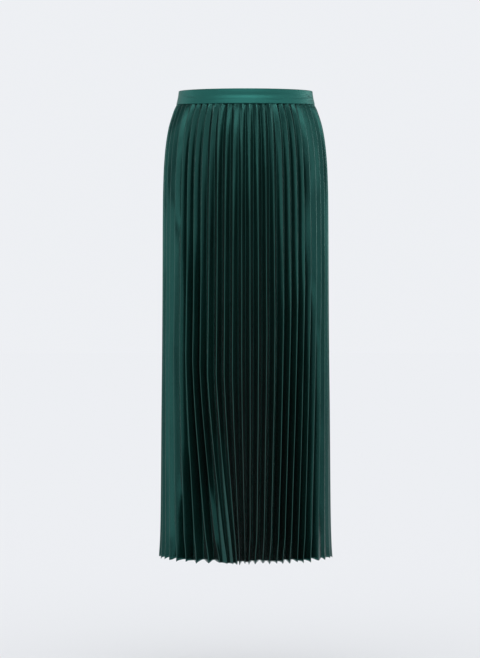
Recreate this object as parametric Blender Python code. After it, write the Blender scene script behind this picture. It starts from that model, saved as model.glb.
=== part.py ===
"""A long skirt of sunray pleats on a narrow waistband, filled out, with a zip at the centre back.

Metres, +Z up. The front faces -Y. The origin is the middle of the waist, level with its top edge.
Each half of the skirt, front and back, is counted from its left side seam (-X) to its right one.
"""
import math
from collections import namedtuple
from functools import lru_cache

import bmesh
import bpy
import numpy as np
from mathutils import Vector

# Driving sizes.
LENGTH = 0.900
BAND_HEIGHT = 0.029
WALL = 0.0010
BAND_WALL = 0.0025
SEAM_GAP = 0.0003
PLEATS_A_HALF = 28
TOOTH = 0.0065  # how much lower a ridge hangs than the valley beside it, at the hem
SPACING_UNEVEN = 0.055  # shares of a pleat's own width and depth
DEPTH_UNEVEN = 0.07
HEM_UNEVEN = 0.0012

# The skirt's level sections: how far below the waist edge, the half width, the half depth in front
# and behind, and how deep the pleats stand there.
Section = namedtuple("Section", "drop half_width front back pleat")
SECTIONS = (
    Section(BAND_HEIGHT + SEAM_GAP, 0.1351, 0.0990, 0.1010, 0.0032),
    Section(0.038, 0.1389, 0.1012, 0.1040, 0.0038),
    Section(0.052, 0.1442, 0.1042, 0.1082, 0.0045),
    Section(0.067, 0.1491, 0.1070, 0.1119, 0.0049),
    Section(0.083, 0.1527, 0.1093, 0.1150, 0.0053),
    Section(0.105, 0.1562, 0.1115, 0.1182, 0.0058),
    Section(0.135, 0.1591, 0.1137, 0.1212, 0.0064),
    Section(0.180, 0.1611, 0.1160, 0.1240, 0.0073),
    Section(0.240, 0.1618, 0.1180, 0.1260, 0.0086),
    Section(0.330, 0.1622, 0.1208, 0.1280, 0.0104),
    Section(0.430, 0.1627, 0.1246, 0.1305, 0.0120),
    Section(0.530, 0.1635, 0.1294, 0.1338, 0.0134),
    Section(0.620, 0.1645, 0.1342, 0.1375, 0.0145),
    Section(0.700, 0.1652, 0.1384, 0.1410, 0.0153),
    Section(0.760, 0.1657, 0.1417, 0.1438, 0.0158),
    Section(0.810, 0.1662, 0.1446, 0.1462, 0.0161),
    Section(0.850, 0.1670, 0.1470, 0.1484, 0.0163),
    Section(0.880, 0.1682, 0.1490, 0.1503, 0.0164),
    Section(LENGTH, 0.1696, 0.1505, 0.1518, 0.0165),
)
WAIST = Section(0.0, 0.1304, 0.0960, 0.0970, 0.0)

# The large soft folds that grow towards the hem. Place is the share of the half's own outline, slide
# how far the pleats there drift to the right, and swell how far they stand out, both at the hem.
Fold = namedtuple("Fold", "place slide swell")
FRONT_FOLDS = (
    Fold(0.00, 0.000, 0.000),
    Fold(0.10, 0.004, -0.002),
    Fold(0.24, 0.018, 0.002),
    Fold(0.36, 0.028, 0.005),
    Fold(0.44, 0.016, 0.001),
    Fold(0.50, 0.003, -0.004),
    Fold(0.60, -0.009, -0.002),
    Fold(0.72, -0.016, 0.003),
    Fold(0.84, -0.005, 0.001),
    Fold(1.00, 0.000, 0.000),
)
BACK_FOLDS = (
    Fold(0.00, 0.000, 0.000),
    Fold(0.12, 0.005, 0.002),
    Fold(0.26, 0.013, -0.003),
    Fold(0.38, 0.006, 0.004),
    Fold(0.50, 0.000, -0.001),
    Fold(0.63, -0.010, -0.003),
    Fold(0.76, -0.014, 0.004),
    Fold(0.89, -0.004, -0.002),
    Fold(1.00, 0.000, 0.000),
)
FOLDS_START = 0.55  # below the waist edge
FOLDS_POWER = 1.7
VALLEY_SLIDE = 0.7  # the valleys drift this share of what the ridges do

# The zip.
ZIP_LENGTH = 0.200
TAPE_TOP = 0.003
TAPE_HALF_WIDTH = 0.0105
TAPE_WALL = 0.0010
TAPE_ROWS = 12
BAND_TOP_FOLD = 0.0009  # the rounding of the waistband's top edge
BAND_STEPS = 48  # round each half of the waist
BAND_LEVELS = 3

PIN_DROP = 0.010  # the pull's pin below the waist edge
PIN_OUT = 0.0036  # and out from the waistband
PIN_RADIUS = 0.0005
SLIDER_WIDTH = 0.0046
SLIDER_HEIGHT = 0.0080
SLIDER_WALL = 0.0015
EAR_THICKNESS = 0.0008
EAR_INNER = 0.0013
EAR_HALF_HEIGHT = 0.0011
EYE_RADIUS = 0.00145
EYE_HOLE = 0.00085
EYE_HALF_WIDTH = 0.0010
PULL_LENGTH = 0.0170
PULL_HALF_WIDTH = 0.0028
PULL_WALL = 0.0011
ROUND_STEPS = 20

SAMPLES = 360  # along half an outline, to space the pleats evenly
SHARP_ANGLE = math.radians(30)
FRONT, BACK = -1, 1


def clear_scene():
    for left_over in list(bpy.data.objects):
        bpy.data.objects.remove(left_over)


def material(name, colour, roughness, metallic=0.0):
    made = bpy.data.materials.new(name)
    made.use_nodes = True
    shader = made.node_tree.nodes["Principled BSDF"]
    shader.inputs["Base Color"].default_value = (*colour, 1.0)
    shader.inputs["Roughness"].default_value = roughness
    shader.inputs["Metallic"].default_value = metallic
    made.diffuse_color = (*colour, 1.0)
    return made


def satin():
    return material("pleated_satin", (0.012, 0.110, 0.096), 0.38)


def band_satin():
    return material("waistband_satin", (0.030, 0.140, 0.122), 0.42)


def zip_tape_cloth():
    return material("zip_tape_cloth", (0.010, 0.060, 0.052), 0.75)


def zip_enamel():
    return material("zip_enamel", (0.014, 0.090, 0.078), 0.30, 0.6)


def uneven(number, seed):
    """A repeatable offset between -1 and 1 for one numbered fold."""
    return 0.6 * math.sin(2.4 * number + seed) + 0.4 * math.sin(5.1 * number + 1.7 * seed)


def eased(places, values, place):
    """The value at a place in a table, on a smooth curve through its rows."""
    row = int(np.clip(np.searchsorted(places, place) - 1, 0, len(places) - 2))
    slopes = np.gradient(values, places)
    span = places[row + 1] - places[row]
    along = (place - places[row]) / span
    rise = values[row] * (2 * along**3 - 3 * along**2 + 1) + values[row + 1] * (3 * along**2 - 2 * along**3)
    lean = slopes[row] * (along**3 - 2 * along**2 + along) + slopes[row + 1] * (along**3 - along**2)
    return rise + lean * span


def fold_at(folds, place, column):
    return eased([f.place for f in folds], [getattr(f, column) for f in folds], place)


def fold_growth(drop):
    """How far the large folds have grown at this drop, from 0 to 1 at the hem."""
    return max(0.0, (drop - FOLDS_START) / (LENGTH - FOLDS_START)) ** FOLDS_POWER


def half_depth(section, side):
    return section.front if side == FRONT else section.back


@lru_cache(maxsize=None)
def half_ellipse(wide, deep):
    """The turns at even steps round half an ellipse, and the length passed at each of them."""
    turns = np.linspace(0.0, math.pi, SAMPLES + 1)
    steps = np.hypot(np.diff(wide * np.cos(turns)), np.diff(deep * np.sin(turns)))
    return turns, np.concatenate([[0.0], np.cumsum(steps)])


def outline_length(section, side):
    return float(half_ellipse(section.half_width, half_depth(section, side))[1][-1])


def outline(section, side, place, inset):
    """The point at a share of the half's outline, moved in from it."""
    wide, deep = section.half_width, half_depth(section, side)
    turns, passed = half_ellipse(wide, deep)
    turn = float(np.interp(place * passed[-1], passed, turns))
    outward = Vector((-math.cos(turn) / wide, side * math.sin(turn) / deep, 0.0)).normalized()
    point = Vector((-wide * math.cos(turn), side * deep * math.sin(turn), -section.drop))
    return point - outward * inset


def wall_through(pitch, depth):
    """How far apart the wall's two faces are along a fold, where its slanting flanks meet."""
    return WALL / math.sin(math.atan2(pitch / 2, depth))


def pleat_pair(section, side, folds, number):
    """The outer and inner points of one fold on one section. Odd folds are ridges."""
    ridge = number % 2 == 1
    last = 2 * PLEATS_A_HALF
    length = outline_length(section, side)
    pitch = length / PLEATS_A_HALF
    growth = fold_growth(section.drop)
    place = number / last
    free = min(1.0, 2 * min(number, last - number) / PLEATS_A_HALF)
    if number * 2 == last and side == BACK:
        free = 0.0
    slide = fold_at(folds, place, "slide") * growth * (1.0 if ridge else VALLEY_SLIDE)
    slide += SPACING_UNEVEN * pitch * uneven(number, 1.0) * min(1.0, 3 * free)
    if free == 0.0:
        slide = 0.0
    swell = fold_at(folds, place, "swell") * growth
    depth = section.pleat * (1.0 + DEPTH_UNEVEN * uneven(number // 2, 2.0) * free)
    inset = (0.0 if ridge else depth) - swell
    through = wall_through(pitch, section.pleat)
    outer = outline(section, side, place + slide / length, inset)
    inner = outline(section, side, place + slide / length, inset + through)
    if section.drop == LENGTH:
        drop = (TOOTH / 2 if ridge else -TOOTH / 2) + HEM_UNEVEN * uneven(number, 3.0)
        outer.z -= drop
        inner.z -= drop
    return outer, inner


def finished(name, build):
    """A named object from the faces built so far, its soft turns shaded smooth."""
    bmesh.ops.recalc_face_normals(build, faces=build.faces)
    mesh = bpy.data.meshes.new(name)
    build.to_mesh(mesh)
    build.free()
    mesh.shade_smooth()
    mesh.set_sharp_from_angle(angle=SHARP_ANGLE)
    made = bpy.data.objects.new(name, mesh)
    bpy.context.collection.objects.link(made)
    return made


def closed_wall(name, columns, finish):
    """One closed wall from its columns of (outer, inner) pairs, each running from top to bottom."""
    build = bmesh.new()
    corners = [[[build.verts.new(point) for point in pair] for pair in column] for column in columns]
    rows = len(corners[0])
    for left, right in zip(corners, corners[1:]):
        for row in range(rows - 1):
            for face in (0, 1):
                build.faces.new((left[row][face], left[row + 1][face],
                                 right[row + 1][face], right[row][face]))
        for row in (0, rows - 1):
            build.faces.new((left[row][0], left[row][1], right[row][1], right[row][0]))
    for column in (corners[0], corners[-1]):
        for row in range(rows - 1):
            build.faces.new((column[row][0], column[row][1], column[row + 1][1], column[row + 1][0]))
    made = finished(name, build)
    made.data.materials.append(finish)
    return made


def seam_shift(side, first, last, number):
    """The step aside that a panel's end fold takes, so that two panels meet half a gap each from a seam."""
    half_gap = SEAM_GAP / 2
    if number in (0, 2 * PLEATS_A_HALF):
        return Vector((0.0, side * half_gap, 0.0))
    if number == first:
        return Vector((half_gap, 0.0, 0.0))
    if number == last:
        return Vector((-half_gap, 0.0, 0.0))
    return Vector()


def pleated_panel(name, side, folds, first, last, finish):
    """A panel of pleats from one numbered fold to another, both of them valleys at seams."""
    columns = []
    for number in range(first, last + 1):
        shift = seam_shift(side, first, last, number)
        pairs = [pleat_pair(section, side, folds, number) for section in SECTIONS]
        columns.append([[point + shift for point in pair] for pair in pairs])
    return closed_wall(name, columns, finish)


def waist_section(drop):
    """The waistband's own section, between the waist edge and the seam."""
    seam = SECTIONS[0]
    share = drop / seam.drop
    rounded = 0.4 * share + 0.6 * share**2  # the hip begins to push the lower edge out

    def between(top, bottom):
        return top + (bottom - top) * rounded

    return Section(drop, between(WAIST.half_width, seam.half_width), between(WAIST.front, seam.front),
                   between(WAIST.back, seam.back), 0.0)


def waistband(finish):
    """The band runs from the centre back round the front to the centre back again."""
    levels = [(0.0, BAND_TOP_FOLD, BAND_WALL - BAND_TOP_FOLD)]
    levels += [(BAND_TOP_FOLD + (BAND_HEIGHT - BAND_TOP_FOLD) * step / BAND_LEVELS, 0.0, BAND_WALL)
               for step in range(BAND_LEVELS + 1)]
    stations = [(BACK, 0.5 - step / BAND_STEPS) for step in range(BAND_STEPS // 2)]
    stations += [(FRONT, step / BAND_STEPS) for step in range(BAND_STEPS)]
    stations += [(BACK, 1.0 - step / BAND_STEPS) for step in range(BAND_STEPS // 2 + 1)]
    columns = []
    for count, (side, place) in enumerate(stations):
        shift = Vector()
        if count in (0, len(stations) - 1):
            shift.x = -SEAM_GAP if count == 0 else SEAM_GAP
        columns.append([[outline(waist_section(drop), side, place, inset) + shift
                         for inset in (outer, inner)] for drop, outer, inner in levels])
    return closed_wall("waistband", columns, finish)


def section_between(drop):
    """The skirt's section at any drop, read between the table's rows."""
    if drop <= SECTIONS[0].drop:
        return waist_section(drop)
    drops = [section.drop for section in SECTIONS]
    columns = zip(*SECTIONS)
    return Section(*(float(np.interp(drop, drops, column)) for column in columns))


def zip_tape(finish):
    """The tapes and closed coil, against the inner side of the band and of the centre back pleat."""
    seam = SECTIONS[0]
    drops = [TAPE_TOP, BAND_HEIGHT / 2, seam.drop]
    drops += [seam.drop + (ZIP_LENGTH - seam.drop) * step / TAPE_ROWS for step in range(1, TAPE_ROWS + 1)]
    columns = []
    for across in (-TAPE_HALF_WIDTH, 0.0, TAPE_HALF_WIDTH):
        column = []
        for drop in drops:
            section = section_between(drop)
            length = outline_length(section, BACK)
            pitch = length / PLEATS_A_HALF
            sewn = seam.pleat + wall_through(outline_length(seam, BACK) / PLEATS_A_HALF, seam.pleat)
            inset = BAND_WALL + (sewn - BAND_WALL) * min(1.0, drop / seam.drop)
            if drop > seam.drop:
                inset = section.pleat + wall_through(pitch, section.pleat)
            inset += SEAM_GAP
            place = 0.5 + across / length
            column.append([outline(section, BACK, place, inset),
                           outline(section, BACK, place, inset + TAPE_WALL)])
        columns.append(column)
    return closed_wall("zip_tape", columns, finish)


def prism(name, outline_points, low, high, axis):
    """A flat outline pushed through from low to high along X or Y. Outline points are (a, z)."""
    build = bmesh.new()

    def corner(a, z, through):
        return build.verts.new((through, a, z) if axis == "X" else (a, through, z))

    near = [corner(a, z, low) for a, z in outline_points]
    far = [corner(a, z, high) for a, z in outline_points]
    build.faces.new(near)
    build.faces.new(far)
    for start, end in zip(range(len(near)), [*range(1, len(near)), 0]):
        build.faces.new((near[start], near[end], far[end], far[start]))
    return finished(name, build)


def box_outline(out_low, out_high, z_low, z_high):
    return [(out_low, z_low), (out_high, z_low), (out_high, z_high), (out_low, z_high)]


def circle_outline(out, radius):
    turns = [2 * math.pi * step / ROUND_STEPS for step in range(ROUND_STEPS)]
    return [(out + radius * math.cos(turn), radius * math.sin(turn)) for turn in turns]


def combine(target, tool, operation):
    """Joins a helper piece to the target, or cuts it away. The helper itself isn't a part."""
    tool.hide_render = True
    tool.display_type = "WIRE"
    tool.parent = target.parent
    step = target.modifiers.new(tool.name, "BOOLEAN")
    step.operation = operation
    step.object = tool


def pin_line():
    """An empty on the pull's hinge line: its Y points out of the waistband and its Z up along it."""
    section = waist_section(PIN_DROP)
    seam = SECTIONS[0]
    lean = math.atan2(seam.back - WAIST.back, seam.drop)
    outward = Vector((0.0, math.cos(lean), math.sin(lean)))
    line = bpy.data.objects.new("pull_hinge_line", None)
    line.location = Vector((0.0, section.back, -PIN_DROP)) + outward * PIN_OUT
    line.rotation_euler = (lean, 0.0, 0.0)
    bpy.context.collection.objects.link(line)
    return line


def zip_slider(line, finish):
    """The slider: a chamfered plate on the band, two ears and the pin between them."""
    near, far = SEAM_GAP - PIN_OUT, SEAM_GAP + SLIDER_WALL - PIN_OUT
    half, edge = SLIDER_HEIGHT / 2, SLIDER_WALL / 3
    plate = [(near, -half), (far - edge, -half), (far, -half + 2 * edge), (far, half - 2 * edge),
             (far - edge, half), (near, half)]
    slider = prism("zip_slider", plate, -SLIDER_WIDTH / 2, SLIDER_WIDTH / 2, "X")
    slider.parent = line
    slider.data.materials.append(finish)
    for name, direction in (("left_ear", -1), ("right_ear", 1)):
        ends = sorted((direction * EAR_INNER, direction * (EAR_INNER + EAR_THICKNESS)))
        ear = prism(name, box_outline(far - edge, PIN_RADIUS * 2.4, -EAR_HALF_HEIGHT, EAR_HALF_HEIGHT),
                    *ends, "X")
        combine(slider, ear, "UNION")
    reach = EAR_INNER + EAR_THICKNESS / 2
    pin = prism("pin", circle_outline(0.0, PIN_RADIUS), -reach, reach, "X")
    combine(slider, pin, "UNION")
    return slider


def zip_pull(line, finish):
    """The pull tab: an eye round the pin, a neck and a drop-shaped tab that hangs down."""
    neck = EYE_HALF_WIDTH * 0.8
    drop_centre = -(PULL_LENGTH - PULL_HALF_WIDTH)
    turns = [math.pi * step / ROUND_STEPS for step in range(ROUND_STEPS + 1)]
    tab = [(-neck, 0.0), (-neck, -3 * EYE_RADIUS)]
    tab += [(-PULL_HALF_WIDTH * math.cos(turn), drop_centre - PULL_HALF_WIDTH * math.sin(turn))
            for turn in turns]
    tab += [(neck, -3 * EYE_RADIUS), (neck, 0.0)]
    pull = prism("zip_pull", tab, -PULL_WALL / 2, PULL_WALL / 2, "Y")
    pull.parent = line
    pull.data.materials.append(finish)
    eye = prism("eye", circle_outline(0.0, EYE_RADIUS), -EYE_HALF_WIDTH, EYE_HALF_WIDTH, "X")
    hole = prism("eye_hole", circle_outline(0.0, EYE_HOLE), -EYE_HALF_WIDTH * 2, EYE_HALF_WIDTH * 2, "X")
    combine(pull, eye, "UNION")
    combine(pull, hole, "DIFFERENCE")
    return pull


def main():
    clear_scene()
    cloth, enamel = satin(), zip_enamel()
    last, middle = 2 * PLEATS_A_HALF, PLEATS_A_HALF
    waistband(band_satin())
    pleated_panel("front_panel", FRONT, FRONT_FOLDS, 0, last, cloth)
    pleated_panel("back_panel_left", BACK, BACK_FOLDS, 0, middle, cloth)
    pleated_panel("back_panel_right", BACK, BACK_FOLDS, middle, last, cloth)
    zip_tape(zip_tape_cloth())
    line = pin_line()
    zip_slider(line, enamel)
    zip_pull(line, enamel)


main()
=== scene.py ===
"""The looks of a long skirt of sunray-pleated satin on a narrow waistband, filled out as if worn.

Metres, +Z up, in the frame's own axes: the front faces -Y and the waist's top edge is at Z 0. A half
of the skirt, front or back, is counted from its left side seam (-X) to its right one, fold by fold:
even folds are valleys and odd ones are ridges.
"""
import math
from collections import namedtuple

import bmesh
import bpy
import numpy as np
from mathutils import Matrix, Vector


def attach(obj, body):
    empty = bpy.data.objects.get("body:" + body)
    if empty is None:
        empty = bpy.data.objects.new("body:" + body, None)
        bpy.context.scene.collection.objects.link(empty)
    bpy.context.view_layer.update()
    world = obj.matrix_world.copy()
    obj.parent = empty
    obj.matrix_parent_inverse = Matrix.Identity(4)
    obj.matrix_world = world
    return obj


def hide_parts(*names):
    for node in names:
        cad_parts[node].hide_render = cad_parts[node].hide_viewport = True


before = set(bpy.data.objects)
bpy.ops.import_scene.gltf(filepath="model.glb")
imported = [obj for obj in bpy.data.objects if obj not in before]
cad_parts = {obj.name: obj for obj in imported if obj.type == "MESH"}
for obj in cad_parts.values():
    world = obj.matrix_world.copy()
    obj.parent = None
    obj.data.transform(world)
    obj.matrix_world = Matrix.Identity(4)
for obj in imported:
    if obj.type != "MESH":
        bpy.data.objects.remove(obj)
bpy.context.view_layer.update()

# The garment's own sizes, as its solids have them.
LENGTH = 0.900
BAND_HEIGHT = 0.029
BAND_WALL = 0.0025
SEAM_GAP = 0.0003
PLEATS_A_HALF = 28
LAST_FOLD = 2 * PLEATS_A_HALF
TOOTH = 0.0065
SPACING_UNEVEN = 0.055
DEPTH_UNEVEN = 0.07
HEM_UNEVEN = 0.0012
ZIP_LENGTH = 0.200
FRONT, BACK = -1, 1

Section = namedtuple("Section", "drop half_width front back pleat")
SECTIONS = (
    Section(0.0293, 0.1351, 0.0990, 0.1010, 0.0032),
    Section(0.038, 0.1389, 0.1012, 0.1040, 0.0038),
    Section(0.052, 0.1442, 0.1042, 0.1082, 0.0045),
    Section(0.067, 0.1491, 0.1070, 0.1119, 0.0049),
    Section(0.083, 0.1527, 0.1093, 0.1150, 0.0053),
    Section(0.105, 0.1562, 0.1115, 0.1182, 0.0058),
    Section(0.135, 0.1591, 0.1137, 0.1212, 0.0064),
    Section(0.180, 0.1611, 0.1160, 0.1240, 0.0073),
    Section(0.240, 0.1618, 0.1180, 0.1260, 0.0086),
    Section(0.330, 0.1622, 0.1208, 0.1280, 0.0104),
    Section(0.430, 0.1627, 0.1246, 0.1305, 0.0120),
    Section(0.530, 0.1635, 0.1294, 0.1338, 0.0134),
    Section(0.620, 0.1645, 0.1342, 0.1375, 0.0145),
    Section(0.700, 0.1652, 0.1384, 0.1410, 0.0153),
    Section(0.760, 0.1657, 0.1417, 0.1438, 0.0158),
    Section(0.810, 0.1662, 0.1446, 0.1462, 0.0161),
    Section(0.850, 0.1670, 0.1470, 0.1484, 0.0163),
    Section(0.880, 0.1682, 0.1490, 0.1503, 0.0164),
    Section(LENGTH, 0.1696, 0.1505, 0.1518, 0.0165),
)
WAIST = Section(0.0, 0.1304, 0.0960, 0.0970, 0.0)

# The side seams' lift and the folds are the scene's own, and larger than those of the solids.
Lift = namedtuple("Lift", "drop lift")  # how far the cloth is drawn up at the side seams
SIDE_LIFT = (Lift(0.0, 0.0040), Lift(0.015, 0.0058), Lift(BAND_HEIGHT, 0.0072), Lift(0.045, 0.0066),
             Lift(0.07, 0.0050), Lift(0.10, 0.0030), Lift(0.14, 0.0012), Lift(0.20, 0.0))

Fold = namedtuple("Fold", "place slide swell start")  # they grow from start to the hem
FRONT_FOLDS = (
    Fold(0.00, 0.000, 0.000, 0.50),
    Fold(0.09, 0.010, -0.002, 0.50),
    Fold(0.20, 0.025, 0.000, 0.50),
    Fold(0.28, 0.041, -0.006, 0.52),
    Fold(0.34, 0.045, 0.003, 0.54),
    Fold(0.40, 0.034, 0.014, 0.54),
    Fold(0.45, 0.016, 0.008, 0.54),
    Fold(0.50, 0.003, -0.004, 0.50),
    Fold(0.62, -0.013, -0.002, 0.45),
    Fold(0.74, -0.028, 0.002, 0.38),
    Fold(0.84, -0.033, 0.002, 0.34),
    Fold(0.92, -0.020, 0.000, 0.34),
    Fold(1.00, 0.000, 0.000, 0.34),
)
BACK_FOLDS = (
    Fold(0.00, 0.000, 0.000, 0.50),
    Fold(0.12, 0.014, 0.002, 0.50),
    Fold(0.26, 0.026, -0.003, 0.45),
    Fold(0.38, 0.012, 0.004, 0.50),
    Fold(0.50, 0.000, -0.001, 0.50),
    Fold(0.63, -0.018, -0.003, 0.40),
    Fold(0.76, -0.028, 0.004, 0.45),
    Fold(0.89, -0.010, -0.002, 0.50),
    Fold(1.00, 0.000, 0.000, 0.50),
)
FOLDS_POWER = 1.25
VALLEY_SLIDE = 0.9

# The finer cloth that the solids leave out.
CLOTH = 0.0004
TUCK = 0.0020  # how far the pleats run up inside the waistband
TUCK_INSET = 0.0007
SPREAD = 0.0110  # below the waistband, over which the pleats spring out
TUCK_PLEAT = 0.92  # a pleat's depth under the waistband, as a share of its depth at the seam
HIP_DEPTH = 0.11  # how much deeper the pleats are pressed over the hips
HIP_FULL, HIP_END = 0.12, 0.34  # the drops between which that fades
PRESSED_FROM, PRESSED_FULL = 0.12, 0.18  # in from each side seam, where the front's begins
BACK_PRESSED = 0.5
SEAM_PLEAT, SEAM_PLEAT_OVER = 0.3, 0.03  # a side seam's depth at the waistband, and how far down it fills
STRAY_LONG, STRAY_SHORT = 0.37, 0.16  # the lengths of the waves in which a fold strays
DEPTH_LEFT = 0.6  # the least share of a pleat's depth that an opened fold keeps
FLANK_STEPS = (0.0, 0.045, 0.08, 0.32, 0.68, 0.91, 0.945)  # across a flank from its valley to its ridge
OPENED, GATHERED = 0.60, 1.08  # a pleat's depth where the pleats are pulled open, and elsewhere
OPEN_EDGE = 0.018
OPEN_START, OPEN_FULL = 0.11, 0.26
CROWD_START, CROWD_FULL = 0.2, 0.4
HIP_CALM_END = 0.30
BACK_OPEN = 0.16
END_PLEATS = 0.11  # beside each side seam, where the pleats hang almost flat above the hem
END_DEPTH = 0.80
END_START, END_FULL = 0.45, 0.70
# The places along the front between which pleats stay closed.
Closed = namedtuple("Closed", "drop left right")
CLOSED = (
    Closed(0.03, -0.10, 1.10), Closed(0.09, -0.10, 0.95), Closed(0.13, 0.03, 0.85),
    Closed(0.21, 0.150, 0.785), Closed(0.31, 0.205, 0.79), Closed(0.40, 0.218, 0.829),
    Closed(0.50, 0.222, 0.863), Closed(0.60, 0.222, 0.870), Closed(0.69, 0.215, 0.895),
    Closed(0.79, 0.175, 0.895), Closed(0.90, 0.135, 0.865),
)
HIP_CALM = Closed(0.15, 0.29, 0.68)  # at the hip the pleats on both sides of these places stand deeper
DEEP_REACH, DEEP_SHARE = 0.10, 0.5  # just right of the left border the pleats crowd back and stand deeper
Fallen = namedtuple("Fallen", "drop left right share")  # the pleats that fall open left of the middle
FALLEN = (Fallen(0.60, 0.380, 0.400, 0.0), Fallen(0.66, 0.355, 0.405, 0.5), Fallen(0.72, 0.330, 0.412, 0.9),
          Fallen(0.79, 0.309, 0.420, 1.0), Fallen(0.90, 0.296, 0.420, 1.0))
FALLEN_DEPTH = 0.42
STRAY = 0.014  # a share of a pleat's width
FLANK_BOW = 0.0003
BOW_FULL, BOW_WAVE = 0.6, 0.29
HOOK = 0.0030  # how far a ridge's tip swings aside at the hem, by its place along the front
HOOK_RISE = 0.055  # above the hem, where the hooks begin
HOOK_PLACES = (0.0, 0.12, 0.20, 0.32, 0.36, 0.50, 0.60, 0.85, 0.95, 1.0)
HOOK_SHARES = (0.0, 0.6, 1.3, 1.2, 0.0, -0.4, -1.1, -1.0, -0.3, 0.0)
HEM_BEND = 0.050  # above the hem, where its teeth begin
HEM_TURN = 0.0075
HEM_TURN_ROWS = (0.15, 0.5, 1.0)
HEM_TURN_MAP = (0.0005, 0.0015, 0.004, HEM_TURN)
HEM_STACK = 0.0009
TOOTH_SHARE, TOOTH_UNEVEN = 0.70, 0.55
ROW_LEVELS = (0.045, 0.150)  # the drops at which the rows of cloth change their spacing
ROW_COUNTS = (12, 16, 50, 12)
ALLOWANCE = 0.009
ALLOWANCE_ROWS = (0.0030, 0.0060, ALLOWANCE)
ALLOWANCE_LEAST = 0.0002  # where an allowance is caught in the waistband or the zip
ALLOWANCE_RIPPLE = 0.0004
SEWN_GAP = 0.00004
PLEAT_FLANK = 0.0188  # a flank's width in the flat cloth at the hem
PLEAT_WALL = 0.0010  # of the solids' pleats
TAPE_HALF_WIDTH = 0.0105
TAPE_TOP = 0.003
TAPE_CLOTH = 0.0005
PIN = (0.0, 0.10139, -0.00951)  # of the zip's pull
TAPE_SEAM, TAPE_SEAM_WIDTH = 0.0006, 0.00035  # the fold between the tape's halves
TAPE_RIB, TAPE_RIB_PITCH = 0.00012, 0.0035
COIL_TOP = 0.017
COIL_END = 0.004
COIL_SEAT = 0.0002
COIL_PITCH = 0.0014
COIL_OFFSET = 0.0010
COIL_WIDE, COIL_HIGH, COIL_THICK = 0.0018, 0.0011, 0.0006

BAND_MAP_LENGTH = 0.72
BAND_STATIONS = 120
BAND_LOWER_EDGE = ((0.0001, 0.0007), (0.0004, 0.0002), (0.0010, 0.0))  # above the edge, and inset
BAND_FOLD = 0.0012
FACING, FACING_FROM = 0.0028, 0.016  # the waistband's inner side, which stands over the pleats' tops
ZIP_CLEAR_FROM, ZIP_CLEAR = 0.012, 0.020
Crease = namedtuple("Crease", "side place drop reach width lean depth")  # soft troughs in the waistband
BAND_CREASES = (
    Crease(FRONT, 0.52, 0.0125, 0.40, 0.0042, 0.000, 0.0010),
    Crease(FRONT, 0.13, 0.0100, 0.09, 0.0028, 0.070, 0.0008),
    Crease(FRONT, 0.20, 0.0215, 0.10, 0.0016, 0.012, 0.0003),
    Crease(FRONT, 0.78, 0.0180, 0.09, 0.0016, -0.030, 0.0006),
    Crease(FRONT, 0.90, 0.0120, 0.05, 0.0018, 0.060, 0.0009),
    Crease(FRONT, 0.93, 0.0200, 0.05, 0.0016, -0.030, 0.0006),
    Crease(FRONT, 0.68, 0.0225, 0.07, 0.0014, 0.014, 0.0004),
    Crease(FRONT, 0.36, 0.0215, 0.08, 0.0014, -0.008, 0.0003),
    Crease(BACK, 0.22, 0.0140, 0.16, 0.0024, 0.006, 0.0007),
    Crease(BACK, 0.76, 0.0130, 0.17, 0.0024, -0.008, 0.0007),
    Crease(BACK, 0.10, 0.0205, 0.07, 0.0016, 0.014, 0.0005),
    Crease(BACK, 0.62, 0.0210, 0.06, 0.0015, -0.014, 0.0004),
    Crease(BACK, 0.90, 0.0090, 0.05, 0.0020, 0.050, 0.0005),
)

# Finishes.
SATIN_DEEP, SATIN_LIGHT = (0.011, 0.056, 0.049, 1.0), (0.018, 0.082, 0.072, 1.0)
# the pressed ridges' colour: partly real wear, partly a painted greyish highlight along each ridge
SATIN_RIDGE_WEAR_AND_HIGHLIGHT = (0.033, 0.076, 0.069, 1.0)
REVERSE_DEEP, REVERSE_LIGHT = (0.002, 0.016, 0.013, 1.0), (0.004, 0.026, 0.022, 1.0)
BAND_DEEP, BAND_LIGHT = (0.014, 0.096, 0.083, 1.0), (0.019, 0.118, 0.103, 1.0)
ENAMEL_DEEP, ENAMEL_LIGHT = (0.010, 0.085, 0.072, 1.0), (0.020, 0.120, 0.100, 1.0)
TAPE_DEEP, TAPE_LIGHT = (0.006, 0.045, 0.038, 1.0), (0.012, 0.080, 0.068, 1.0)
NYLON_DEEP, NYLON_LIGHT = (0.006, 0.050, 0.042, 1.0), (0.012, 0.080, 0.068, 1.0)
# how fast the ridge line of wear and painted highlight grows stronger down the skirt
WEAR_AND_HIGHLIGHT_DOWN = 1.6
WEAR_AND_HIGHLIGHT_EDGE = 20.0  # the higher, the finer the line of wear and painted highlight on each ridge

# The zip's slider and its pull, in the axes of the pull's pin.
SLIDER_PLATE, SLIDER_OUT = (0.0046, 0.0015, 0.0080), -0.00255
SLIDER_CROWN_EDGE, SLIDER_CROWN = 0.0008, 0.0003
SLIDER_NARROWS = 0.72
EAR, EAR_ASIDE, EAR_OUT = (0.0008, 0.0028, 0.0022), 0.0017, -0.0004
EAR_TIP = 0.0003
PIN_RADIUS, PIN_LENGTH = 0.0005, 0.0040
EYE_RADIUS, EYE_WIDTH, EYE_WALL = 0.00145, 0.0020, 0.00060
NECK, NECK_DOWN = (0.0016, 0.0011, 0.0010), -0.0018
TAB_STEPS = ((0.0009, 1.5), (0.0008, 2.1), (0.0008, 1.1), (0.0048, 0.90), (0.0048, 0.98),
             (0.0015, 1.0), (0.0008, 0.86), (0.0004, 0.6))  # how far down, and how much wider
RECESS_LOW, RECESS_HIGH = -0.0155, -0.0048
RECESS_EDGE, RECESS_DEPTH = 0.0006, 0.00022

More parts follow.
